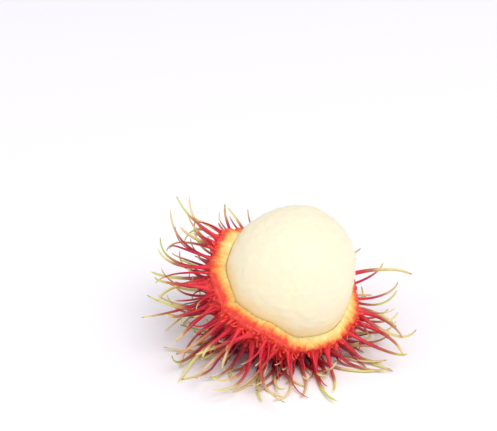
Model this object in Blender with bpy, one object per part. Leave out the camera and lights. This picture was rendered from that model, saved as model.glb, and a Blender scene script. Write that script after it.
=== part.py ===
"""A half-peeled rambutan: the pale flesh stands in the cup that is left of its spiny rind.

The origin is the middle of the small flat spot that the rind rests on, +Z is up, and the open mouth
leans towards -Y. Everything is worked out in the fruit's own frame, whose +Z is the fruit's axis and
points out of the mouth, whose +X is level, and whose +Y is the downhill way across the mouth.
"""

import math
import random

import bmesh
import bpy
from mathutils import Matrix, Vector

MM = 0.001

# The flesh, an egg whose longer half is the one in the rind
FLESH_RADIUS = 16.7 * MM
FLESH_TOP_LENGTH = 17.6 * MM
FLESH_BOTTOM_LENGTH = 20.0 * MM
# Where it is fuller or flatter than that: azimuth, latitude, spread in degrees, share of the radius
SWELLS = (
    (134, 24, 24, -0.065),
    (98, -10, 22, 0.06),
    (270, 25, 25, -0.02),
    (240, 42, 25, 0.03),
)

# The rind, thickest at its closed end and thinnest on one side of its mouth
GAP = 0.3 * MM
RIND_THICKNESS = 2.7 * MM
THINNING = 0.4 * MM
THINNEST_AZIMUTH = 80
END_THICKNESS = 4.6 * MM
LIP_RISE = 0.35 * MM
# Its torn edge, as (azimuth, latitude) in degrees: nearly straight tears between blunt corners
TORN_EDGE = (
    (-59, -3),
    (-49, -6),
    (-36, -20),
    (-19, -13),
    (-6, -14),
    (1, -18),
    (13, -11),
    (25, -8),
    (38, -2),
    (55, -9),
    (66, -15),
    (88, -9),
    (99, -9),
    (119, 4),
    (125, 4),
    (137, -8),
    (160, -12),
    (184, -14),
    (204, -27),
    (228, -34),
    (252, -33),
    (270, -25),
    (282, -20),
    (294, -9),
)

# How the fruit lies: its axis leans from the vertical towards a heading right of -Y
AXIS_LEAN = 36
AXIS_HEADING = 38
FLAT_SPOT_DEPTH = 0.4 * MM
TABLE_SLAB = 60 * MM

# The spines: as many as would cover the whole fruit evenly, of which those on the rind are built.
# The lowest lie along the table, which presses them flat underneath.
SPINES_ON_WHOLE_FRUIT = 470
SPINE_SEED = 1112000
SPINE_LENGTH = (13.0 * MM, 22.0 * MM)
SPINE_TIP = 0.25 * MM
SPINE_TAPER = 0.36 * MM
SPINE_FLARE = 1.0 * MM
SPINE_SINK = 1.3 * MM
SPINE_STRAY = 0.2
SPINE_JITTER = 2.2
CURL = (20, 95)
HOOKED_SHARE = 0.3
HOOK = (20, 65)
HOOK_START = 0.7
SWAY = 0.45
SWAY_TURNS = 0.9
LIFT = (-0.2, 0.9)
SIDE_CURL = 0.8
EDGE_MARGIN = 7.5
LEAST_ROOT_HEIGHT = 0.9 * MM
TABLE_CLEARANCE = (0.25 * MM, 0.6 * MM)
SETTLE_REACH = 2.0 * MM
CRUSH = 1.5
PATH_STEPS = 24
GOLDEN_ANGLE = 180 * (3 - math.sqrt(5))

# How finely the solids are faceted
COLUMNS = 48
OUTER_RINGS = 11
INNER_RINGS = 6
FLESH_RINGS = 18
SPINE_SIDES = 3
SPINE_RING_SHARES = (0.05, 0.2, 0.4, 0.6, 0.78, 0.91)


def fruit_axes():
    """The fruit's own +X, +Y and +Z in world space."""
    lean = math.radians(AXIS_LEAN)
    heading = math.radians(AXIS_HEADING)
    axis = Vector(
        (
            math.sin(lean) * math.sin(heading),
            -math.sin(lean) * math.cos(heading),
            math.cos(lean),
        )
    )
    level = axis.cross(Vector((0, 0, 1))).normalized()
    return level, axis.cross(level), axis


def direction(azimuth, latitude):
    """A unit vector in the fruit's frame, from angles in degrees."""
    turn = math.radians(azimuth)
    rise = math.radians(latitude)
    return Vector(
        (
            math.cos(rise) * math.cos(turn),
            math.cos(rise) * math.sin(turn),
            math.sin(rise),
        )
    )


def flesh_radius(way):
    """How far the flesh reaches from the fruit's centre along a unit vector."""
    half_length = FLESH_TOP_LENGTH if way.z > 0 else FLESH_BOTTOM_LENGTH
    across = (way.x**2 + way.y**2) / FLESH_RADIUS**2
    along = way.z**2 / half_length**2
    swell = 0.0
    for azimuth, latitude, spread, share in SWELLS:
        apart = math.degrees(way.angle(direction(azimuth, latitude)))
        swell += share * math.exp(-((apart / spread) ** 2))
    return (1 + swell) / math.sqrt(across + along)


def thickness(azimuth, latitude):
    """The rind's thickness, which grows smoothly from its edge to its closed end."""
    share = max(0.0, -math.sin(math.radians(latitude))) ** 2
    mouth = RIND_THICKNESS - THINNING * math.cos(math.radians(azimuth - THINNEST_AZIMUTH))
    return mouth + (END_THICKNESS - mouth) * share


def inner_point(azimuth, latitude):
    """A point of the rind's inner wall."""
    way = direction(azimuth, latitude)
    return way * (flesh_radius(way) + GAP)


def outer_point(azimuth, latitude):
    """A point of the rind's skin."""
    way = direction(azimuth, latitude)
    return way * (flesh_radius(way) + GAP + thickness(azimuth, latitude))


def outer_normal(azimuth, latitude):
    """The skin's outward normal."""
    small = 0.5
    eastward = outer_point(azimuth + small, latitude) - outer_point(azimuth - small, latitude)
    northward = outer_point(azimuth, latitude + small) - outer_point(azimuth, latitude - small)
    return eastward.cross(northward).normalized()


def edge_latitude(azimuth):
    """The torn edge's latitude at an azimuth, straight between its corners."""
    first = TORN_EDGE[0][0]
    turn = (azimuth - first) % 360 + first
    corners = TORN_EDGE + ((first + 360, TORN_EDGE[0][1]),)
    for (start, low), (end, high) in zip(corners, corners[1:]):
        if turn <= end:
            return low + (high - low) * (turn - start) / (end - start)
    return TORN_EDGE[0][1]


def fruit_matrix():
    """The fruit's frame in world space, set down so that the flat spot is at the origin."""
    turn = Matrix(fruit_axes()).transposed()
    skin = [
        turn @ outer_point(azimuth, latitude)
        for azimuth in range(360)
        for latitude in range(-90, 0)
    ]
    table = min(point.z for point in skin) + FLAT_SPOT_DEPTH
    spot = [point for point in skin if point.z < table]
    across = [point.x for point in spot]
    deep = [point.y for point in spot]
    middle = Vector((min(across) + max(across), min(deep) + max(deep), 2 * table)) / 2
    return Matrix.Translation(-middle) @ turn.to_4x4()


def skin_material():
    return material("rind_skin", (0.62, 0.02, 0.03), 0.45)


def flesh_material():
    return material("flesh_pulp", (0.90, 0.84, 0.62), 0.35)


def material(name, colour, roughness):
    made = bpy.data.materials.new(name)
    made.use_nodes = True
    shader = made.node_tree.nodes["Principled BSDF"]
    shader.inputs["Base Color"].default_value = (*colour, 1)
    shader.inputs["Roughness"].default_value = roughness
    shader.inputs["Metallic"].default_value = 0
    made.diffuse_color = (*colour, 1)
    return made


def add_object(name, body, parent=None, collection=None):
    """Turns a bmesh into an object, in place, with its faces pointing out."""
    bmesh.ops.recalc_face_normals(body, faces=body.faces)
    mesh = bpy.data.meshes.new(name)
    body.to_mesh(mesh)
    body.free()
    mesh.shade_smooth()
    made = bpy.data.objects.new(name, mesh)
    (collection or bpy.context.scene.collection).objects.link(made)
    made.parent = parent
    return made


def stitch(body, rings, first_end, last_end):
    """Faces between rings of vertices, and a fan to a point, or one flat face, at each end."""
    sides = len(rings[0])
    for ring, following in zip(rings, rings[1:]):
        for k in range(sides):
            after = (k + 1) % sides
            body.faces.new((ring[k], ring[after], following[after], following[k]))
    for ring, end in ((rings[0], first_end), (rings[-1], last_end)):
        if end is None:
            body.faces.new(ring)
            continue
        tip = body.verts.new(end)
        for k in range(sides):
            body.faces.new((ring[k], ring[(k + 1) % sides], tip))


def build_flesh(fruit):
    """The pulp, whole, as it shows above the rind and as it sits inside."""
    body = bmesh.new()
    rings = []
    for ring in range(1, FLESH_RINGS):
        latitude = -90 + 180 * ring / FLESH_RINGS
        ways = [direction(360 * k / COLUMNS, latitude) for k in range(COLUMNS)]
        rings.append([body.verts.new(way * flesh_radius(way)) for way in ways])
    bottom = Vector((0, 0, -flesh_radius(Vector((0, 0, -1)))))
    top = Vector((0, 0, flesh_radius(Vector((0, 0, 1)))))
    stitch(body, rings, bottom, top)
    flesh = add_object("flesh", body, parent=fruit)
    flesh.data.materials.append(flesh_material())
    return flesh


def rind_column(azimuth):
    """One column of the rind: up the skin, over the torn edge and down the inner wall."""
    edge = edge_latitude(azimuth)
    climb = [-90 + (edge + 90) * k / OUTER_RINGS for k in range(1, OUTER_RINGS + 1)]
    descent = [edge - (edge + 90) * k / INNER_RINGS for k in range(INNER_RINGS)]
    skin = [outer_point(azimuth, latitude) for latitude in climb]
    wall = [inner_point(azimuth, latitude) for latitude in descent]
    lip = (skin[-1] + wall[0]) / 2 + Vector((0, 0, LIP_RISE))
    return skin + [lip] + wall


def build_rind_shell(fruit):
    """The cup of rind, still without its spines."""
    body = bmesh.new()
    columns = [rind_column(360 * k / COLUMNS) for k in range(COLUMNS)]
    rings = [[body.verts.new(point) for point in ring] for ring in zip(*columns)]
    stitch(body, rings, outer_point(0, -90), inner_point(0, -90))
    rind = add_object("rind", body, parent=fruit)
    rind.data.materials.append(skin_material())
    return rind


def spine_roots(frame):
    """(number, root, normal) in world space of each spine, spread evenly in a golden spiral."""
    roots = []
    for number in range(SPINES_ON_WHOLE_FRUIT):
        draw = random.Random(number)
        level = -1 + 2 * (number + 0.5) / SPINES_ON_WHOLE_FRUIT
        latitude = math.degrees(math.asin(level)) + draw.uniform(-SPINE_JITTER, SPINE_JITTER)
        azimuth = number * GOLDEN_ANGLE
        azimuth += draw.uniform(-SPINE_JITTER, SPINE_JITTER) / math.cos(math.radians(latitude))
        if latitude > edge_latitude(azimuth) - EDGE_MARGIN:
            continue
        root = frame @ outer_point(azimuth, latitude)
        if root.z < LEAST_ROOT_HEIGHT:
            continue
        normal = frame.to_3x3() @ outer_normal(azimuth, latitude)
        roots.append((number, root, normal))
    return roots


def spine_path(number, root, normal):
    """A spine's centre line: out from the skin, swaying and curling, and level above the table."""
    draw = random.Random(SPINE_SEED + number)
    length = draw.uniform(*SPINE_LENGTH)
    curl = math.radians(draw.uniform(*CURL))
    lift = draw.uniform(*LIFT)
    side = draw.uniform(-SIDE_CURL, SIDE_CURL)
    clearance = draw.uniform(*TABLE_CLEARANCE)
    hook = math.radians(draw.uniform(*HOOK)) if draw.random() < HOOKED_SHARE else 0.0
    sway = draw.uniform(0, 2 * math.pi)
    stray = Vector((draw.gauss(0, 1), draw.gauss(0, 1), draw.gauss(0, 1)))
    heading = (normal + SPINE_STRAY * stray).normalized()
    points = [root]
    for k in range(PATH_STEPS):
        share = (k + 0.5) / PATH_STEPS
        sideways = heading.cross(Vector((0, 0, 1)))
        aim = lift * Vector((0, 0, 1)) + side * sideways
        aim -= aim.project(heading)
        turn = curl * 2 * share
        if share > HOOK_START:
            turn += hook / (1 - HOOK_START)
        bend = turn * aim.normalized()
        bend += SWAY * math.sin(sway + 2 * math.pi * SWAY_TURNS * share) * sideways.normalized()
        heading = (heading + bend / PATH_STEPS).normalized()
        steepest = -max(0.0, points[-1].z - clearance) / SETTLE_REACH
        heading = level_off(heading, max(steepest, -1.0))
        points.append(points[-1] + heading * length / PATH_STEPS)
    return points


def level_off(heading, steepest):
    """The same heading, falling no steeper than this."""
    if heading.z >= steepest:
        return heading
    flat = Vector((heading.x, heading.y, 0))
    if flat.length == 0:
        return heading
    flat.normalize()
    return flat * math.sqrt(1 - steepest**2) + Vector((0, 0, steepest))


def spine_radius(share):
    """Half a spine's width: a broad foot on the skin, then a slow taper to a blunt tip."""
    return SPINE_TIP + SPINE_TAPER * (1 - share) + SPINE_FLARE * math.exp(-((share / 0.1) ** 2))


def along(points, share):
    """The point at this share of a path."""
    place = share * (len(points) - 1)
    index = min(int(place), len(points) - 2)
    return points[index].lerp(points[index + 1], place - index)


def build_spine(name, points, normal, to_fruit, fruit, collection):
    """A faceted spine round its centre line, its root sunk well into the rind."""
    centres = [points[0] - normal * SPINE_SINK]
    centres += [along(points, share) for share in SPINE_RING_SHARES]
    radii = [spine_radius(0.0)]
    for share, point in zip(SPINE_RING_SHARES, centres[1:]):
        radii.append(min(spine_radius(share), point.z * CRUSH))
    tip = points[-1]
    ends = centres + [tip]
    body = bmesh.new()
    rings = []
    side = normal.orthogonal()
    for k, (centre, radius) in enumerate(zip(centres, radii)):
        ahead = (ends[k + 1] - centre).normalized()
        behind = (centre - ends[k - 1]).normalized() if k else normal
        tangent = (ahead + behind).normalized()
        side = (side - side.project(tangent)).normalized()
        other = tangent.cross(side)
        ring = []
        for corner in range(SPINE_SIDES):
            turn = 2 * math.pi * corner / SPINE_SIDES
            offset = side * math.cos(turn) + other * math.sin(turn)
            ring.append(body.verts.new(to_fruit @ (centre + offset * radius)))
        rings.append(ring)
    stitch(body, rings, None, to_fruit @ tip)
    return add_object(name, body, parent=fruit, collection=collection)


def build_spines(fruit, frame):
    """Every spine as its own solid, in a collection of their own."""
    spines = bpy.data.collections.new("spines")
    bpy.context.scene.collection.children.link(spines)
    to_fruit = frame.inverted()
    for number, root, normal in spine_roots(frame):
        points = spine_path(number, root, normal)
        build_spine(f"spine_{number}", points, normal, to_fruit, fruit, spines)
    return spines


def fuse(rind, spines):
    """Grows the spines into the rind as one solid, and clears away their separate solids."""
    union = rind.modifiers.new("spines", "BOOLEAN")
    union.operation = "UNION"
    union.operand_type = "COLLECTION"
    union.collection = spines
    union.solver = "MANIFOLD"
    bpy.context.view_layer.update()
    graph = bpy.context.evaluated_depsgraph_get()
    fused = bpy.data.meshes.new_from_object(rind.evaluated_get(graph))
    rind.modifiers.clear()
    rind.data = fused
    for spine in list(spines.objects):
        bpy.data.objects.remove(spine)
    bpy.data.collections.remove(spines)


def cut_flat_spot(rind):
    """Takes off what is below the table, which leaves the small flat spot that the rind rests on."""
    body = bmesh.new()
    bmesh.ops.create_cube(body, size=TABLE_SLAB * 2)
    bmesh.ops.translate(body, vec=(0, 0, -TABLE_SLAB), verts=body.verts)
    slab = add_object("table_cutter", body)
    slab.hide_render = True
    slab.display_type = "WIRE"
    cut = rind.modifiers.new("flat_spot", "BOOLEAN")
    cut.operation = "DIFFERENCE"
    cut.object = slab
    cut.solver = "MANIFOLD"


def main():
    for old in list(bpy.data.objects):
        bpy.data.objects.remove(old)
    frame = fruit_matrix()
    fruit = bpy.data.objects.new("fruit", None)
    bpy.context.scene.collection.objects.link(fruit)
    fruit.matrix_world = frame
    bpy.context.view_layer.update()
    build_flesh(fruit)
    rind = build_rind_shell(fruit)
    fuse(rind, build_spines(fruit, frame))
    cut_flat_spot(rind)


main()
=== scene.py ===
"""The looks of the half-peeled rambutan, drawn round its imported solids.

The flesh, the torn edge of the rind and the centre lines of the spines follow the same rules as the
solids do, and are drawn much finer here. Lengths are in metres and angles in degrees.
"""

import math
import random
from collections import namedtuple

import bpy
import numpy as np
from mathutils import Matrix, Vector, noise


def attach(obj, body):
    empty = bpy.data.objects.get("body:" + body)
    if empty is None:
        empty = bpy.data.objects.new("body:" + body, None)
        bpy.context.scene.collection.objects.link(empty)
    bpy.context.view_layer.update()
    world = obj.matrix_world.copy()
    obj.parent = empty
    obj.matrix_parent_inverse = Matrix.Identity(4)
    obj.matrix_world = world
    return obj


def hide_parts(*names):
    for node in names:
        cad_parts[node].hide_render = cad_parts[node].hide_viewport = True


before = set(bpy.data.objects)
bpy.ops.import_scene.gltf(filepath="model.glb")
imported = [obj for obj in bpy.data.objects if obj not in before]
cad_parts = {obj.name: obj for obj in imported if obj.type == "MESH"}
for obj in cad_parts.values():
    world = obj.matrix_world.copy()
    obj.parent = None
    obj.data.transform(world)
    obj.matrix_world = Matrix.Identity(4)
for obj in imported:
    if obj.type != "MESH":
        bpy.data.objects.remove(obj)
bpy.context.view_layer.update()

MM = 0.001

# The form, as in the solids
FLESH_RADIUS = 16.7 * MM
FLESH_TOP_LENGTH = 17.6 * MM
FLESH_BOTTOM_LENGTH = 20.0 * MM
# Swells and hollows of the flesh: azimuth, latitude, spread, share of its radius
SWELLS = (
    (134, 24, 24, -0.065),
    (98, -10, 22, 0.06),
    (270, 25, 25, -0.02),
    (240, 42, 25, 0.03),
)
GAP = 0.3 * MM
RIND_THICKNESS = 2.7 * MM
THINNING = 0.4 * MM
THINNEST_AZIMUTH = 80
END_THICKNESS = 4.6 * MM
LIP_RISE = 0.35 * MM
# The torn edge's corners: azimuth, latitude
TORN_EDGE = (
    (-59, -3),
    (-49, -6),
    (-36, -20),
    (-19, -13),
    (-6, -14),
    (1, -18),
    (13, -11),
    (25, -8),
    (38, -2),
    (55, -9),
    (66, -15),
    (88, -9),
    (99, -9),
    (119, 4),
    (125, 4),
    (137, -8),
    (160, -12),
    (184, -14),
    (204, -27),
    (228, -34),
    (252, -33),
    (270, -25),
    (282, -20),
    (294, -9),
)
AXIS_LEAN = 36
AXIS_HEADING = 38
FLAT_SPOT_DEPTH = 0.4 * MM
SPINES_ON_WHOLE_FRUIT = 470
SPINE_SEED = 1112000
SPINE_LENGTH = (13.0 * MM, 22.0 * MM)
SPINE_TIP = 0.25 * MM
SPINE_TAPER = 0.36 * MM
SPINE_FLARE = 1.0 * MM
FLARE_REACH = 0.1
SPINE_SINK = 1.3 * MM
SPINE_STRAY = 0.2
SPINE_JITTER = 2.2
CURL = (20, 95)
HOOKED_SHARE = 0.3
HOOK = (20, 65)
HOOK_START = 0.7
SWAY = 0.45
SWAY_TURNS = 0.9
LIFT = (-0.2, 0.9)
SIDE_CURL = 0.8
EDGE_MARGIN = 7.5
LEAST_ROOT_HEIGHT = 0.9 * MM
TABLE_CLEARANCE = (0.25 * MM, 0.6 * MM)
SETTLE_REACH = 2.0 * MM
PATH_STEPS = 24
GOLDEN_ANGLE = 180 * (3 - math.sqrt(5))

# How finely each mesh is drawn
RIND_COLUMNS = 640
SKIN_RINGS = 76
CUT_RINGS = 20
WALL_RINGS = 12
WALL_CROWDING = 1.6
FLESH_COLUMNS = 256
FLESH_RINGS = 160
SPINE_SIDES = 8

# Roughness of the surfaces: height, size of its features, seed. The flesh, the torn edge and the
# fibres have sizes in radii of the fruit, and the torn edge's heights are in degrees
FLESH_LUMPS = (
    (0.14 * MM, 0.22, 1),
    (0.13 * MM, 0.11, 2),
)
FLESH_FURROWS = (0.012 * MM, 0.07, 3)
RAGGED_EDGE = (
    (0.9, 0.16, 4),
    (0.99, 0.03, 5),
)
SKIN_GRAIN = (0.1 * MM, 0.9 * MM, 6)
CUT_FIBRES = (0.16 * MM, 0.02, 8)
CUT_CRUMB = (0.24 * MM, 0.55 * MM, 9)
# The noise's octaves, how much finer and fainter each is, and how far a seed moves it
OCTAVES = 3
LACUNARITY = 2.0
FADE = 1.0
SEED_STEPS = (17.3, 5.1, 9.7)
# Furrows run from end to end of the flesh, and fibres drift on their way across the cut face
FURROW_STRETCH = 0.12
FIBRE_DRIFT = 0.05
# How far above the torn edge the flesh is as rough as it gets
ROUGH_FROM = 12

# The lip, which closes up to the flesh and laps up it. LIP_DEPTH and GAP_REACH are in degrees
LIP_GAP = 0.003 * MM
LIP_DEPTH = 1.4
GAP_REACH = 12
LIP_LAP = 0.3 * MM
LIP_RIDGE = 0.06 * MM
# Where the ridge runs and how wide it is, in shares of the way across the cut face
LIP_RIDGE_PLACE = 0.7
LIP_RIDGE_SPREAD = 0.15
# Where the lip stands off from the flesh: azimuth, spread in degrees, width
OPEN_LIPS = (
    (-28, 22, 0.16 * MM),
    (101, 8, 0.2 * MM),
)

# The bumps at the spines' feet, and the spineless ones in rows this far below the torn edge
FOOT_HEIGHT = 0.95 * MM
FOOT_REACH = 1.35 * MM
# A foot lifts no skin that is farther from it than this
FARTHEST_FOOT = 4 * FOOT_REACH
STUB_ROWS = (1.3, 3.9, 6.6)
STUB_SPACING = 6.3
STUB_SIZE = 0.8
STUB_SEED = 7
STUB_TURN = (-1.5, 1.5)
STUB_DROP = (-0.6, 0.9)
# What "below" says at the skin's closed end
BELOW_AT_END = 70
LOWEST_SKIN = 0.02 * MM

# The spines' section: less of the solids' flare, flatter past the root, and a blunt end
FLARE_KEPT = 0.6
SPINE_BREADTH = 1.08
SPINE_THINNESS = 0.72
ROUND_REACH = 0.15
BLUNT_FROM = 0.94
BLUNT_TIP = 0.3

# The thin spines between the solids' own, and the short spikes all over the skin
THIN_CANDIDATES = 1600
THIN_SPACING = 1.5 * MM
THIN_SHARE = 0.75
THIN_SEED = 90000
SHORT_COUNT = 6500
SHORT_MARGIN = 4.2
SHORT_SPACING = 0.85 * MM
SHORT_SEED = 70000

# How far from the torn edge, in degrees, the colours of each stop changing: the painted shade that darkens
# the spines and the skin down the fruit, and the painted warm glow of the rind on the flesh
SPINE_DARK_AT = 55
SKIN_DARK_AT = 40.0
FLESH_PALE_AT = 60.0
# How far the cut face's colour frays into the skin, and how its streaks drift on their way across
FRAY_REACH = 5.0
STREAK_DRIFT = 0.03
# Where the cut face is reddest, and where it is paler: azimuth, narrowness, strength
RED_AZIMUTH = 20
PALE_SIDES = (
    (90, 0.8, 1.2),
    (-50, 0.8, 0.7),
)

# The photograph's frame and its viewing angle
FRAME_WIDTH = 497
FRAME_HEIGHT = 431
LENS = 110
SENSOR = 36
CAMERA_ELEVATION = 27.2
CAMERA_DISTANCE = 388.3 * MM
CENTRE_PIXEL = (292.5, 272.0)
LAMP_DISTANCE = 1.5
LAMP_AIM = Vector((0, 0, 0.02))
FLOOR_REACH = 2.0
SKY = (0.98, 0.98, 1.0, 1)
SKY_STRENGTH = 0.62


# The form


def fruit_axes():
    """The fruit's own three directions in world space."""
    lean = math.radians(AXIS_LEAN)
    heading = math.radians(AXIS_HEADING)
    axis = Vector(
        (
            math.sin(lean) * math.sin(heading),
            -math.sin(lean) * math.cos(heading),
            math.cos(lean),
        )
    )
    level = axis.cross(Vector((0, 0, 1))).normalized()
    return level, axis.cross(level), axis


def directions(azimuth, latitude):
    """Unit vectors in the fruit's frame, from arrays of angles."""
    turn = np.radians(azimuth)
    rise = np.radians(latitude)
    return np.stack([np.cos(rise) * np.cos(turn), np.cos(rise) * np.sin(turn), np.sin(rise)], -1)


def flesh_radius(way):
    """How far the flesh reaches from the fruit's centre in these directions."""
    half_length = np.where(way[..., 2] > 0, FLESH_TOP_LENGTH, FLESH_BOTTOM_LENGTH)
    across = (way[..., 0] ** 2 + way[..., 1] ** 2) / FLESH_RADIUS**2
    along = way[..., 2] ** 2 / half_length**2
    swell = 1.0
    for azimuth, latitude, spread, share in SWELLS:
        apart = np.degrees(np.arccos(np.clip(way @ directions(azimuth, latitude), -1, 1)))
        swell = swell + share * np.exp(-((apart / spread) ** 2))
    return swell / np.sqrt(across + along)


def thickness(azimuth, latitude):
    """The rind's thickness, which grows towards the closed end."""
    share = np.maximum(0, -np.sin(np.radians(latitude))) ** 2
    mouth = RIND_THICKNESS - THINNING * np.cos(np.radians(azimuth - THINNEST_AZIMUTH))
    return mouth + (END_THICKNESS - mouth) * share


def inner_points(azimuth, latitude):
    """Points of the solids' inner wall, in the fruit's frame."""
    way = directions(azimuth, latitude)
    return way * (flesh_radius(way) + GAP)[..., None]


def outer_points(azimuth, latitude):
    """Points of the skin without its bumps, in the fruit's frame."""
    way = directions(azimuth, latitude)
    return way * (flesh_radius(way) + GAP + thickness(azimuth, latitude))[..., None]


def outer_normals(azimuth, latitude):
    """The ways straight out of the skin."""
    small = 0.5
    eastward = outer_points(azimuth + small, latitude) - outer_points(azimuth - small, latitude)
    northward = outer_points(azimuth, latitude + small) - outer_points(azimuth, latitude - small)
    normal = np.cross(eastward, northward)
    return normal / np.linalg.norm(normal, axis=-1, keepdims=True)


def edge_latitude(azimuth):
    """The torn edge's latitude, straight between its corners."""
    first, latitude = TORN_EDGE[0]
    turns = [corner[0] for corner in TORN_EDGE] + [first + 360]
    latitudes = [corner[1] for corner in TORN_EDGE] + [latitude]
    return np.interp((azimuth - first) % 360 + first, turns, latitudes)


def fruit_matrix():
    """The fruit's frame in world space, set down so that the flat spot is at the origin."""
    turn = np.array(fruit_axes()).T
    azimuth, latitude = np.meshgrid(np.arange(360), np.arange(-90, 0), indexing="ij")
    skin = outer_points(azimuth, latitude).reshape(-1, 3) @ turn.T
    table = skin[:, 2].min() + FLAT_SPOT_DEPTH
    spot = skin[skin[:, 2] < table]
    middle = (spot.min(0) + spot.max(0)) / 2
    middle[2] = table
    return Matrix.Translation(-Vector(middle)) @ Matrix(turn).to_4x4()


FRUIT = fruit_matrix()
TURN = np.array(FRUIT.to_3x3())
PLACE = np.array(FRUIT.translation)


def to_world(points):
    """Points in the fruit's frame, set down in world space."""
    return points @ TURN.T + PLACE


def spine_roots():
    """(number, root, normal) in world space of each spine, in the solids' golden spiral."""
    roots = []
    for number in range(SPINES_ON_WHOLE_FRUIT):
        draw = random.Random(number)
        level = -1 + 2 * (number + 0.5) / SPINES_ON_WHOLE_FRUIT
        latitude = math.degrees(math.asin(level)) + draw.uniform(-SPINE_JITTER, SPINE_JITTER)
        azimuth = number * GOLDEN_ANGLE
        azimuth += draw.uniform(-SPINE_JITTER, SPINE_JITTER) / math.cos(math.radians(latitude))
        if latitude > edge_latitude(azimuth) - EDGE_MARGIN:
            continue
        root = Vector(to_world(outer_points(azimuth, latitude)))
        if root.z < LEAST_ROOT_HEIGHT:
            continue
        normal = Vector(TURN @ outer_normals(azimuth, latitude))
        roots.append((number, root, normal))
    return roots


def spine_path(number, root, normal, size):
    """A spine's centre line: out from the skin, swaying and curling, and level above the table."""
    draw = random.Random(SPINE_SEED + number)
    length = draw.uniform(*SPINE_LENGTH) * size
    curl = math.radians(draw.uniform(*CURL))
    lift = draw.uniform(*LIFT)
    side = draw.uniform(-SIDE_CURL, SIDE_CURL)
    clearance = draw.uniform(*TABLE_CLEARANCE)
    hook = math.radians(draw.uniform(*HOOK)) if draw.random() < HOOKED_SHARE else 0.0
    sway = draw.uniform(0, 2 * math.pi)
    stray = Vector((draw.gauss(0, 1), draw.gauss(0, 1), draw.gauss(0, 1)))
    heading = (normal + SPINE_STRAY * stray).normalized()
    points = [root]
    for k in range(PATH_STEPS):
        share = (k + 0.5) / PATH_STEPS
        sideways = heading.cross(Vector((0, 0, 1)))
        aim = lift * Vector((0, 0, 1)) + side * sideways
        aim -= aim.project(heading)
        turn = curl * 2 * share
        if share > HOOK_START:
            turn += hook / (1 - HOOK_START)
        bend = turn * aim.normalized()
        bend += SWAY * math.sin(sway + 2 * math.pi * SWAY_TURNS * share) * sideways.normalized()
        heading = (heading + bend / PATH_STEPS).normalized()
        steepest = -max(0.0, points[-1].z - clearance) / SETTLE_REACH
        heading = level_off(heading, max(steepest, -1.0))
        points.append(points[-1] + heading * length / PATH_STEPS)
    return points


def level_off(heading, steepest):
    """heading, going down no more steeply than this."""
    if heading.z >= steepest:
        return heading
    flat = Vector((heading.x, heading.y, 0))
    if flat.length == 0:
        return heading
    flat.normalize()
    return flat * math.sqrt(1 - steepest**2) + Vector((0, 0, steepest))


def spine_radius(share):
    """A spine's radius in the solids, at this share of the way along."""
    flare = SPINE_FLARE * math.exp(-((share / FLARE_REACH) ** 2))
    return SPINE_TIP + SPINE_TAPER * (1 - share) + flare


# Mesh helpers


def grid_faces(rings, columns):
    """Quads between rings of a closed grid, each ring running round it."""
    ring, column = np.meshgrid(np.arange(rings - 1), np.arange(columns), indexing="ij")
    after = (column + 1) % columns
    low = ring * columns
    high = low + columns
    return np.stack([low + column, low + after, high + after, high + column], -1).reshape(-1, 4)


def fan_faces(ring_start, columns, tip, outward):
    """Triangles from a ring to a single vertex."""
    column = np.arange(columns)
    here = ring_start + column
    after = ring_start + (column + 1) % columns
    ends = (after, here) if outward else (here, after)
    return np.stack([ends[0], ends[1], np.full(columns, tip)], -1)


def end_fans(count, columns):
    """Triangles that close both ends of a grid of count points, with the two end points after it."""
    first = fan_faces(0, columns, count, True)
    last = fan_faces(count - columns, columns, count + 1, False)
    return np.concatenate([first, last])


def make_object(name, points, quads, triangles, attributes, material):
    """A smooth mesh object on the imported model's only body."""
    faces = [tuple(face) for face in quads.tolist()] + [tuple(face) for face in triangles.tolist()]
    mesh = bpy.data.meshes.new(name)
    mesh.from_pydata(points.tolist(), [], faces)
    mesh.shade_smooth()
    for label, values in attributes.items():
        attribute = mesh.attributes.new(label, "FLOAT", "POINT")
        attribute.data.foreach_set("value", np.asarray(values, np.float32))
    mesh.materials.append(material)
    made = bpy.data.objects.new(name, mesh)
    bpy.context.scene.collection.objects.link(made)
    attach(made, "root")
    return made


def rough(points, height, size, seed):
    """Smooth noise at points, about this high either way, with features of about this size."""
    shift = Vector([seed * step for step in SEED_STEPS])
    scaled = points.reshape(-1, 3) / size
    values = [
        noise.fractal(Vector(point) + shift, FADE, LACUNARITY, OCTAVES, noise_basis="PERLIN_ORIGINAL")
        for point in scaled.tolist()
    ]
    return height * np.array(values).reshape(points.shape[:-1])


# The flesh


def make_flesh():
    """The pulp, with faint furrows from end to end and a slightly lumpy skin."""
    latitude = np.linspace(-90, 90, FLESH_RINGS + 2)[1:-1]
    azimuth = np.arange(FLESH_COLUMNS) * 360 / FLESH_COLUMNS
    grid_azimuth, grid_latitude = np.meshgrid(azimuth, latitude)
    way = directions(grid_azimuth, grid_latitude)
    above = grid_latitude - edge_latitude(grid_azimuth)
    lumps = sum(rough(way, *layer) for layer in FLESH_LUMPS)
    drawn_out = way * np.array([1, 1, FURROW_STRETCH])
    furrows = rough(drawn_out, *FLESH_FURROWS) * np.cos(np.radians(grid_latitude))
    free = np.clip(above / ROUGH_FROM, 0, 1)
    rings = way * (flesh_radius(way) + (lumps + furrows) * free)[..., None]
    ends = np.array([[0, 0, -1.0], [0, 0, 1.0]])
    ends = ends * flesh_radius(ends)[:, None]
    made = make_object(
        "flesh_body",
        to_world(np.concatenate([rings.reshape(-1, 3), ends])),
        grid_faces(FLESH_RINGS, FLESH_COLUMNS),
        end_fans(FLESH_RINGS * FLESH_COLUMNS, FLESH_COLUMNS),
        {"above": np.concatenate([above.ravel(), [-90, 90]])},
        flesh_material(),
    )
    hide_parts("flesh")


# The rind


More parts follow.
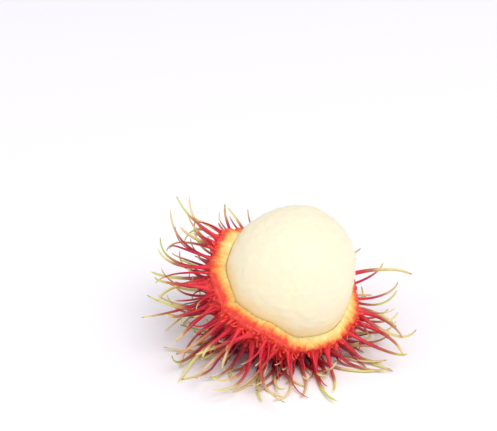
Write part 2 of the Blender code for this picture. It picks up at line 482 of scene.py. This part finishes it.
def stub_places():
    """(azimuth, latitude) of the spineless bumps in rows below the torn edge."""
    draw = random.Random(STUB_SEED)
    places = []
    for row, below in enumerate(STUB_ROWS):
        for k in range(round(360 / STUB_SPACING)):
            azimuth = (k + 0.5 * (row % 2)) * STUB_SPACING + draw.uniform(*STUB_TURN)
            drop = below + draw.uniform(*STUB_DROP)
            places.append((azimuth, float(edge_latitude(azimuth)) - drop))
    return places


def foot_bumps(points, feet):
    """How far each bump's foot lifts the skin at points, from 0 to 1."""
    lift = np.zeros(points.shape[0])
    for foot, size in feet:
        apart = np.linalg.norm(points - foot, axis=1)
        near = apart < FARTHEST_FOOT
        bump = size * np.exp(-((apart[near] / (FOOT_REACH * size)) ** 2))
        lift[near] = np.maximum(lift[near], bump)
    return lift


def ragged_edge(azimuth):
    """The torn edge's latitude with all its tatters."""
    around = directions(azimuth, np.zeros_like(azimuth))
    edge = edge_latitude(azimuth)
    for layer in RAGGED_EDGE:
        edge = edge + rough(around, *layer)
    return edge


def skin_rings(azimuth, edge, roots):
    """The skin from the closed end up to the torn edge, how far below the edge, and its bumps."""
    climb = np.linspace(0, 1, SKIN_RINGS + 1)[1:]
    latitude = -90 + (edge + 90) * climb[:, None]
    azimuth = np.broadcast_to(azimuth, latitude.shape)
    skin = outer_points(azimuth, latitude)
    normal = outer_normals(azimuth, latitude)
    feet = [(np.array(FRUIT.inverted() @ root), 1.0) for _, root, _ in roots]
    feet += [(outer_points(*place), STUB_SIZE) for place in stub_places()]
    foot = foot_bumps(skin.reshape(-1, 3), feet).reshape(latitude.shape)
    lift = FOOT_HEIGHT * foot + rough(skin, *SKIN_GRAIN)
    return skin + normal * lift[..., None], edge - latitude, foot


def wall_rings(azimuth, edge):
    """The inner wall from the lip, which laps up the flesh, down to the closed end."""
    edge = edge + math.degrees(LIP_LAP / FLESH_RADIUS)
    fall = np.linspace(0, 1, WALL_RINGS + 1)[:-1] ** WALL_CROWDING
    latitude = edge - (edge + 90) * fall[:, None]
    azimuth = np.broadcast_to(azimuth, latitude.shape)
    below = edge - latitude
    gap = LIP_GAP + (GAP - LIP_GAP) * np.clip((below - LIP_DEPTH) / GAP_REACH, 0, 1)
    for middle, spread, width in OPEN_LIPS:
        apart = (azimuth - middle + 180) % 360 - 180
        gap += width * np.exp(-((apart / spread) ** 2)) * np.clip(1 - below / LIP_DEPTH, 0, 1)
    way = directions(azimuth, latitude)
    return way * (flesh_radius(way) + gap)[..., None]


def cut_rings(azimuth, outer, inner, step):
    """The cut face between two rings at these steps of the way, with fibres that run across it."""
    cut = outer * (1 - step)[:, None, None] + inner * step[:, None, None]
    arch = (4 * step * (1 - step))[:, None]
    fibre_place = np.empty(cut.shape)
    fibre_place[..., :2] = directions(azimuth, np.zeros_like(azimuth))[:, :2]
    fibre_place[..., 2] = FIBRE_DRIFT * step[:, None]
    grain = rough(fibre_place, *CUT_FIBRES) + rough(cut, *CUT_CRUMB)
    ridge = LIP_RIDGE * np.exp(-(((step - LIP_RIDGE_PLACE) / LIP_RIDGE_SPREAD) ** 2))[:, None]
    # It stays low at first, and curls up against the flesh at its inner side
    lap = LIP_LAP * (step**3 - step)[:, None]
    cut[..., 2] += LIP_RISE * arch + ridge + lap + grain * arch**0.5
    return cut


def make_rind(roots):
    """The torn cup: its bumpy skin, its fibrous cut face and its inner wall, in one closed grid."""
    azimuth = np.arange(RIND_COLUMNS) * 360 / RIND_COLUMNS
    edge = ragged_edge(azimuth)
    step = np.linspace(0, 1, CUT_RINGS + 2)[1:-1]
    skin, below, foot = skin_rings(azimuth, edge, roots)
    wall = wall_rings(azimuth, edge)
    cut = cut_rings(azimuth, skin[-1], wall[0], step)

    rings = np.concatenate([skin, cut, wall])
    ends = np.stack([outer_points(0.0, -90.0), inner_points(0.0, -90.0)])
    points = to_world(np.concatenate([rings.reshape(-1, 3), ends]))
    points[:, 2] = np.maximum(points[:, 2], LOWEST_SKIN)

    # Each attribute on the skin, the cut face, the inner wall and the two ends
    on_cut = np.zeros(cut.shape[:2])
    on_wall = np.zeros(wall.shape[:2])
    turns = np.radians(np.broadcast_to(azimuth, rings.shape[:2]))
    values = {
        "across": (np.zeros_like(foot), on_cut + step[:, None], on_wall + 1, (0, 1)),
        "below": (below, on_cut, on_wall, (BELOW_AT_END, 0)),
        "foot": (foot, on_cut, on_wall, (0, 0)),
        "around_x": (np.cos(turns), (0, 0)),
        "around_y": (np.sin(turns), (0, 0)),
    }
    made = make_object(
        "rind_body",
        points,
        grid_faces(len(rings), RIND_COLUMNS),
        end_fans(len(rings) * RIND_COLUMNS, RIND_COLUMNS),
        {name: np.concatenate([np.ravel(part) for part in parts]) for name, parts in values.items()},
        rind_material(),
    )
    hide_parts("rind")


# The spines


def thin_roots(roots):
    """(number, root, normal) of the thin spines between the solids' spines."""
    taken = [np.array(root) for _, root, _ in roots]
    found = []
    for number in range(THIN_CANDIDATES):
        draw = random.Random(THIN_SEED + number)
        level = -1 + 2 * (number + 0.5) / THIN_CANDIDATES
        latitude = math.degrees(math.asin(level)) + draw.uniform(-SPINE_JITTER, SPINE_JITTER)
        azimuth = number * GOLDEN_ANGLE
        if draw.random() > THIN_SHARE or latitude > edge_latitude(azimuth) - EDGE_MARGIN:
            continue
        place = to_world(outer_points(azimuth, latitude))
        if place[2] < LEAST_ROOT_HEIGHT:
            continue
        if min(np.linalg.norm(other - place) for other in taken) < THIN_SPACING:
            continue
        taken.append(place)
        found.append((THIN_SEED + number, Vector(place), Vector(TURN @ outer_normals(azimuth, latitude))))
    return found


def short_roots(roots):
    """(number, root, normal) of the soft little spikes all over the skin."""
    taken = [np.array(root) for _, root, _ in roots]
    found = []
    for number in range(SHORT_COUNT):
        draw = random.Random(SHORT_SEED + number)
        latitude = math.degrees(math.asin(-draw.random()))
        azimuth = number * GOLDEN_ANGLE % 360
        if latitude > edge_latitude(azimuth) - SHORT_MARGIN:
            continue
        place = to_world(outer_points(azimuth, latitude))
        if place[2] < LEAST_ROOT_HEIGHT:
            continue
        if np.linalg.norm(np.array(taken) - place, axis=1).min() < SHORT_SPACING:
            continue
        taken.append(place)
        found.append((SHORT_SEED + number, Vector(place), Vector(TURN @ outer_normals(azimuth, latitude))))
    return found


def spine_rings(path, root, normal, width):
    """One spine's rings of points and each ring's share of the way along."""
    steps = len(path) - 1
    centres = [root - normal * min(SPINE_SINK, (path[-1] - root).length / 2)] + path[:-1]
    shares = [0.0] + [k / steps for k in range(steps)]
    bend = normal.cross(path[-1] - root)
    side = bend.normalized() if bend.length > 0 else normal.orthogonal().normalized()
    rings = []
    for k, (centre, share) in enumerate(zip(centres, shares)):
        ahead = path[k] - centre
        behind = centre - centres[k - 1] if k else normal
        tangent = (ahead.normalized() + behind.normalized()).normalized()
        side = (side - side.project(tangent)).normalized()
        thin = tangent.cross(side)
        flare_lost = SPINE_FLARE * (1 - FLARE_KEPT) * math.exp(-((share / FLARE_REACH) ** 2))
        to_end = min(1.0, (1 - share) / (1 - BLUNT_FROM))
        blunt = math.sqrt(to_end**2 * (1 - BLUNT_TIP) + BLUNT_TIP)
        radius = (spine_radius(share) - flare_lost) * blunt * width
        flat = SPINE_THINNESS + (1 - SPINE_THINNESS) * math.exp(-((share / ROUND_REACH) ** 2))
        ring = []
        for corner in range(SPINE_SIDES):
            angle = 2 * math.pi * corner / SPINE_SIDES
            offset = side * math.cos(angle) * SPINE_BREADTH + thin * math.sin(angle) * flat
            point = centre + offset * radius
            if k:
                point.z = max(point.z, LOWEST_SKIN)
            ring.append(point)
        rings.append(ring)
    return rings, shares


def shade_share(root):
    """How far down the fruit a root lies, from 0 under the torn edge to 1 at the closed end."""
    place = FRUIT.inverted() @ root
    azimuth = math.degrees(math.atan2(place.y, place.x))
    latitude = math.degrees(math.asin(place.z / place.length))
    return max(0.0, min(1.0, (float(edge_latitude(azimuth)) - latitude) / SPINE_DARK_AT))


# What sets one kind of spine apart. length and width are shares of the solids' spines, pale_from is
# how far along a spine starts to turn pale, and stride is how many path points apart its rings are
SpineKind = namedtuple("SpineKind", "name seed length width pale_from stride")
KINDS = (
    SpineKind("rind_spines", 50000, (1.0, 1.0), 1.0, (0.38, 0.72), 1),
    SpineKind("rind_thin_spines", 60000, (0.35, 0.8), 0.62, (0.6, 1.1), 1),
    SpineKind("rind_short_spines", 70000, (0.05, 0.15), 0.8, (1.3, 1.3), 4),
)


def root_cap(start):
    """Triangles that close a spine's first ring, which lies in the rind."""
    return np.array([[start, start + k + 1, start + k] for k in range(1, SPINE_SIDES - 1)])


def make_spines(kind, roots, material):
    """All spines of one kind as one piece, each a closed tube whose root is sunk in the rind."""
    points, quads, triangles = [], [], []
    attributes = {name: [] for name in ("along", "turning", "tint", "dark", "shade")}
    for number, root, normal in roots:
        draw = random.Random(kind.seed + number)
        path = spine_path(number, root, normal, draw.uniform(*kind.length))[:: kind.stride]
        rings, shares = spine_rings(path, root, normal, kind.width)
        start = len(points)
        for ring in rings:
            points += [tuple(point) for point in ring]
        points.append(tuple(path[-1]))
        quads.append(grid_faces(len(rings), SPINE_SIDES) + start)
        last_ring = start + (len(rings) - 1) * SPINE_SIDES
        triangles.append(fan_faces(last_ring, SPINE_SIDES, len(points) - 1, False))
        triangles.append(root_cap(start))
        same_all_over = {
            "turning": draw.uniform(*kind.pale_from),
            "tint": draw.random(),
            "dark": draw.random(),
            "shade": shade_share(root),
        }
        attributes["along"] += [share for share in shares for _ in range(SPINE_SIDES)] + [1.0]
        for name, value in same_all_over.items():
            attributes[name] += [value] * (len(points) - start)
    made = make_object(
        kind.name,
        np.array(points),
        np.concatenate(quads),
        np.concatenate(triangles),
        attributes,
        material,
    )
    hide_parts("rind")


# The materials


def linear(red, green, blue):
    """A colour given as 0 to 255 as it shows, in the linear values that shaders take."""
    values = [channel / 255 for channel in (red, green, blue)]
    return [v / 12.92 if v <= 0.04045 else ((v + 0.055) / 1.055) ** 2.4 for v in values] + [1]


# The Mix node's colour sockets, which share their names with its other ones
MIX_FIRST = 6
MIX_SECOND = 7
MIX_RESULT = 2


class Shader:
    """A material's node tree, with a short call for each kind of node used here."""

    def __init__(self, name, roughness, **constants):
        self.material = bpy.data.materials.new(name)
        self.material.use_nodes = True
        self.tree = self.material.node_tree
        self.surface = self.tree.nodes["Principled BSDF"]
        self.surface.inputs["Roughness"].default_value = roughness
        for socket, value in constants.items():
            self.surface.inputs[socket.replace("_", " ")].default_value = value

    def node(self, kind, **settings):
        made = self.tree.nodes.new(kind)
        for setting, value in settings.items():
            setattr(made, setting, value)
        return made

    def put(self, value, socket):
        if isinstance(value, bpy.types.NodeSocket):
            self.tree.links.new(value, socket)
        else:
            socket.default_value = value

    def attribute(self, name):
        return self.node("ShaderNodeAttribute", attribute_name=name).outputs["Fac"]

    def math(self, operation, first, second=0.0, clamp=False):
        made = self.node("ShaderNodeMath", operation=operation, use_clamp=clamp)
        self.put(first, made.inputs[0])
        self.put(second, made.inputs[1])
        return made.outputs[0]

    def vector(self, x, y, z):
        made = self.node("ShaderNodeCombineXYZ")
        for value, socket in zip((x, y, z), made.inputs):
            self.put(value, socket)
        return made.outputs[0]

    def add(self, first, *others):
        """The sum of these values."""
        total = first
        for value in others:
            total = self.math("ADD", total, value)
        return total

    def on_side(self, azimuth):
        """How nearly a point lies on this side of the fruit, from -1 to 1."""
        turn = math.radians(azimuth)
        across = self.math("MULTIPLY", self.attribute("around_x"), math.cos(turn))
        deep = self.math("MULTIPLY", self.attribute("around_y"), math.sin(turn))
        return self.add(across, deep)

    def place(self):
        return self.node("ShaderNodeTexCoord").outputs["Object"]

    def noise(self, place, scale, detail):
        made = self.node("ShaderNodeTexNoise")
        self.put(place, made.inputs["Vector"])
        made.inputs["Scale"].default_value = scale
        made.inputs["Detail"].default_value = detail
        return made.outputs["Fac"]

    def spread(self, value, low, high):
        """value, taken from low to high onto 0 to 1."""
        made = self.node("ShaderNodeMapRange", interpolation_type="SMOOTHSTEP")
        self.put(value, made.inputs["Value"])
        self.put(low, made.inputs["From Min"])
        self.put(high, made.inputs["From Max"])
        return made.outputs["Result"]

    def scaled(self, value, middle, size, positive=False):
        """(value - middle) * size, and not below 0 if it has to be positive."""
        made = self.math("MULTIPLY", self.math("SUBTRACT", value, middle), size)
        return self.math("MAXIMUM", made, 0.0) if positive else made

    def swing(self, noise, size, positive=False):
        """Noise, which runs from 0 to 1, moved to swing about 0 and made this strong."""
        return self.scaled(noise, 0.5, size, positive)

    def ramp(self, value, *stops):
        """A colour that goes through (place, colour) stops."""
        made = self.node("ShaderNodeValToRGB")
        self.put(value, made.inputs["Fac"])
        elements = made.color_ramp.elements
        while len(elements) < len(stops):
            elements.new(0.5)
        for element, (at, colour) in zip(elements, stops):
            element.position = at
            element.color = colour
        return made.outputs["Color"]

    def mix(self, share, first, second):
        """A colour from the first to the second."""
        made = self.node("ShaderNodeMix", data_type="RGBA")
        self.put(share, made.inputs["Factor"])
        self.put(first, made.inputs[MIX_FIRST])
        self.put(second, made.inputs[MIX_SECOND])
        return made.outputs[MIX_RESULT]

    def finish(self, colour, height, depth, roughness=None):
        """The material with this colour, and with bumps this deep where height is 1."""
        self.put(colour, self.surface.inputs["Base Color"])
        if roughness is not None:
            self.put(roughness, self.surface.inputs["Roughness"])
        bump = self.node("ShaderNodeBump")
        bump.inputs["Strength"].default_value = 1.0
        bump.inputs["Distance"].default_value = depth
        self.put(height, bump.inputs["Height"])
        self.put(bump.outputs["Normal"], self.surface.inputs["Normal"])
        return self.material


def flesh_material():
    shader = Shader(
        "flesh_pulp",
        0.4,
        Subsurface_Weight=0.7,
        Subsurface_Radius=(1.0, 0.7, 0.42),
        Subsurface_Scale=4.0 * MM,
        Specular_IOR_Level=0.4,
    )
    place = shader.place()
    cloud = shader.noise(place, 90.0, 4.0)
    mottle = shader.noise(place, 700.0, 3.0)
    # Warm where it leaves the rind, paler towards its free end: painted warm light that the orange rind
    # throws back onto the flesh
    above = shader.add(shader.attribute("above"), shader.swing(cloud, 16.0))
    colour = shader.ramp(
        shader.math("DIVIDE", above, FLESH_PALE_AT, clamp=True),
        (0.0, linear(253, 216, 148)),
        (0.14, linear(252, 228, 177)),
        (0.40, linear(249, 236, 203)),
        (1.0, linear(245, 235, 209)),
    )
    # Painted shade and orange bounce light of the crevice: the flesh turns orange-brown where it goes down
    # under the torn edge
    colour = shader.mix(shader.spread(shader.attribute("above"), 1.0, -5.0), colour, linear(238, 156, 76))
    colour = shader.mix(shader.swing(mottle, 0.5, True), colour, linear(248, 240, 216))
    height = shader.add(shader.math("MULTIPLY", cloud, 0.6), shader.math("MULTIPLY", mottle, 0.4))
    roughness = shader.add(0.34, shader.math("MULTIPLY", mottle, 0.2))
    return shader.finish(colour, height, 0.08 * MM, roughness)


def skin_colour(shader, wander, fine):
    """Orange under the torn edge, with painted shade: darker down towards the closed end underneath and in
    the hollows between the spines' feet.
    """
    deep = shader.add(shader.attribute("below"), shader.swing(wander, 9.0))
    # Painted shade of the underside: darker the farther the skin lies below the torn edge
    skin = shader.ramp(
        shader.math("DIVIDE", deep, SKIN_DARK_AT, clamp=True),
        (0.0, linear(250, 92, 52)),
        (0.1, linear(246, 62, 54)),
        (0.3, linear(236, 44, 58)),
        (0.6, linear(210, 30, 56)),
        (1.0, linear(168, 22, 50)),
    )
    # Painted shade in the hollows between the spines' feet, deeper further down the fruit
    painted_valley_shade = shader.mix(shader.spread(deep, 2.0, 14.0), linear(232, 62, 46), linear(176, 18, 46))
    skin = shader.mix(shader.spread(shader.attribute("foot"), 0.45, 0.05), skin, painted_valley_shade)
    return shader.mix(shader.swing(fine, 1.2, True), skin, linear(250, 92, 70))


def cut_colour(shader, across, streaks, wander):
    """The cut face, which pales inwards, and by more on some sides of the fruit."""
    pale = shader.add(across, shader.swing(streaks, 0.35), shader.swing(wander, 0.9))
    redder = shader.scaled(shader.on_side(RED_AZIMUTH), 0.6, 0.25, True)
    pale = shader.math("SUBTRACT", pale, redder)
    for azimuth, least, size in PALE_SIDES:
        pale = shader.add(pale, shader.scaled(shader.on_side(azimuth), least, size, True))
    return shader.ramp(
        pale,
        (0.0, linear(222, 50, 42)),
        (0.16, linear(233, 76, 46)),
        (0.34, linear(242, 134, 62)),
        (0.56, linear(250, 188, 98)),
        (0.85, linear(253, 220, 142)),
        (1.0, linear(254, 234, 170)),
    )


def rind_material():
    shader = Shader(
        "rind_skin",
        0.42,
        Subsurface_Weight=0.35,
        Subsurface_Radius=(1.0, 0.45, 0.2),
        Subsurface_Scale=1.5 * MM,
        Specular_IOR_Level=0.5,
    )
    place = shader.place()
    wander = shader.noise(place, 420.0, 4.0)
    fine = shader.noise(place, 1600.0, 4.0)
    across = shader.attribute("across")
    drift = shader.math("MULTIPLY", across, STREAK_DRIFT)
    around = shader.vector(shader.attribute("around_x"), shader.attribute("around_y"), drift)
    streaks = shader.noise(around, 60.0, 4.0)
    # The cut face's outer side frays into the skin
    below = shader.math("DIVIDE", shader.attribute("below"), FRAY_REACH)
    from_edge = shader.add(
        shader.math("SUBTRACT", across, below),
        shader.swing(wander, 0.7),
        shader.swing(streaks, 0.9),
        shader.swing(fine, 0.5),
    )
    skin = skin_colour(shader, wander, fine)
    cut = cut_colour(shader, across, streaks, wander)
    colour = shader.mix(shader.spread(from_edge, -0.12, 0.2), skin, cut)
    height = shader.add(shader.math("MULTIPLY", fine, 0.5), shader.math("MULTIPLY", streaks, 0.5))
    return shader.finish(colour, height, 0.3 * MM)


def spine_material(name, *reds):
    shader = Shader(
        name,
        0.4,
        Subsurface_Weight=0.2,
        Subsurface_Radius=(1.0, 0.45, 0.25),
        Subsurface_Scale=0.8 * MM,
        Specular_IOR_Level=0.45,
    )
    place = shader.place()
    along = shader.attribute("along")
    wander = shader.noise(place, 350.0, 3.0)
    fine = shader.noise(place, 2200.0, 3.0)
    shifted = shader.add(along, shader.swing(wander, 0.3))
    red = shader.ramp(shifted, *reds)
    deep = shader.spread(shader.attribute("shade"), 0.1, 0.75)
    red = shader.mix(shader.math("MULTIPLY", deep, 0.85), red, linear(158, 14, 48))
    pale = shader.ramp(
        shader.attribute("tint"),
        (0.0, linear(208, 158, 122)),
        (0.25, linear(234, 212, 156)),
        (0.6, linear(234, 222, 148)),
        (0.85, linear(212, 216, 118)),
        (1.0, linear(184, 204, 94)),
    )
    red = shader.mix(shader.swing(fine, 0.7, True), red, linear(246, 130, 120))
    # It turns pale towards its end, by way of a dull brown
    passed = shader.math("SUBTRACT", shifted, shader.attribute("turning"))
    colour = shader.mix(shader.spread(passed, -0.24, 0.02), red, linear(184, 112, 80))
    colour = shader.mix(shader.spread(passed, -0.06, 0.2), colour, pale)
    brown = shader.math(
        "MULTIPLY",
        shader.spread(along, 0.93, 1.0),
        shader.spread(shader.attribute("dark"), 0.45, 0.6),
    )
    colour = shader.mix(brown, colour, linear(88, 52, 40))
    return shader.finish(colour, fine, 0.12 * MM)


def floor_material():
    shader = Shader("pale_floor", 0.8, Specular_IOR_Level=0.1)
    grain = shader.noise(shader.place(), 900.0, 2.0)
    colour = shader.mix(grain, linear(249, 247, 254), linear(252, 250, 255))
    return shader.finish(colour, grain, 0.01 * MM)


# The studio


def make_floor():
    mesh = bpy.data.meshes.new("floor")
    corners = [(x * FLOOR_REACH, y * FLOOR_REACH, 0) for x, y in ((-1, -1), (1, -1), (1, 1), (-1, 1))]
    mesh.from_pydata(corners, [], [(0, 1, 2, 3)])
    mesh.materials.append(floor_material())
    made = bpy.data.objects.new("floor", mesh)
    bpy.context.scene.collection.objects.link(made)


def make_lamp(name, azimuth, elevation, size, power, colour):
    """A soft square lamp that looks at the fruit from well away."""
    lamp = bpy.data.lights.new(name, "AREA")
    lamp.shape = "SQUARE"
    lamp.size = size
    lamp.energy = power
    lamp.color = colour
    made = bpy.data.objects.new(name, lamp)
    bpy.context.scene.collection.objects.link(made)
    turn = math.radians(azimuth)
    rise = math.radians(elevation)
    back = Vector((math.sin(turn) * math.cos(rise), -math.cos(turn) * math.cos(rise), math.sin(rise)))
    made.location = LAMP_AIM + back * LAMP_DISTANCE
    made.rotation_mode = "QUATERNION"
    made.rotation_quaternion = (-back).to_track_quat("-Z", "Y")


def make_world():
    world = bpy.data.worlds.new("studio")
    world.use_nodes = True
    background = world.node_tree.nodes["Background"]
    background.inputs["Color"].default_value = SKY
    background.inputs["Strength"].default_value = SKY_STRENGTH
    bpy.context.scene.world = world


def make_camera():
    camera = bpy.data.cameras.new("camera")
    camera.lens = LENS
    camera.sensor_width = SENSOR
    camera.clip_start = 0.01
    camera.clip_end = 20
    made = bpy.data.objects.new("camera", camera)
    bpy.context.scene.collection.objects.link(made)
    rise = math.radians(CAMERA_ELEVATION)
    right = Vector((1, 0, 0))
    up = Vector((0, math.sin(rise), math.cos(rise)))
    ahead = Vector((0, math.cos(rise), -math.sin(rise)))
    pixels = LENS / SENSOR * FRAME_WIDTH
    across = (CENTRE_PIXEL[0] - FRAME_WIDTH / 2) / pixels * CAMERA_DISTANCE
    down = (CENTRE_PIXEL[1] - FRAME_HEIGHT / 2) / pixels * CAMERA_DISTANCE
    matrix = Matrix((right, up, -ahead)).transposed().to_4x4()
    matrix.translation = FRUIT.translation - ahead * CAMERA_DISTANCE - right * across + up * down
    made.matrix_world = matrix
    bpy.context.scene.camera = made


make_camera()
make_world()
make_lamp("key", azimuth=40, elevation=55, size=1.05, power=13.5, colour=(1.0, 0.99, 0.96))
make_lamp("fill", azimuth=-70, elevation=35, size=1.5, power=4.7, colour=(0.95, 0.97, 1.0))
make_floor()
bpy.context.scene.view_settings.view_transform = "Standard"

long_skin = spine_material(
    "spine_skin",
    (0.0, linear(250, 56, 56)),
    (0.16, linear(232, 30, 54)),
    (0.5, linear(184, 18, 54)),
    (0.9, linear(200, 62, 70)),
)
short_skin = spine_material(
    "short_spine_skin",
    (0.0, linear(240, 44, 54)),
    (0.5, linear(244, 58, 56)),
    (1.0, linear(250, 104, 72)),
)
full = spine_roots()
thin = thin_roots(full)
short = short_roots(full + thin)
make_flesh()
make_rind(full)
for kind, roots, skin in zip(KINDS, (full, thin, short), (long_skin, long_skin, short_skin)):
    make_spines(kind, roots, skin)
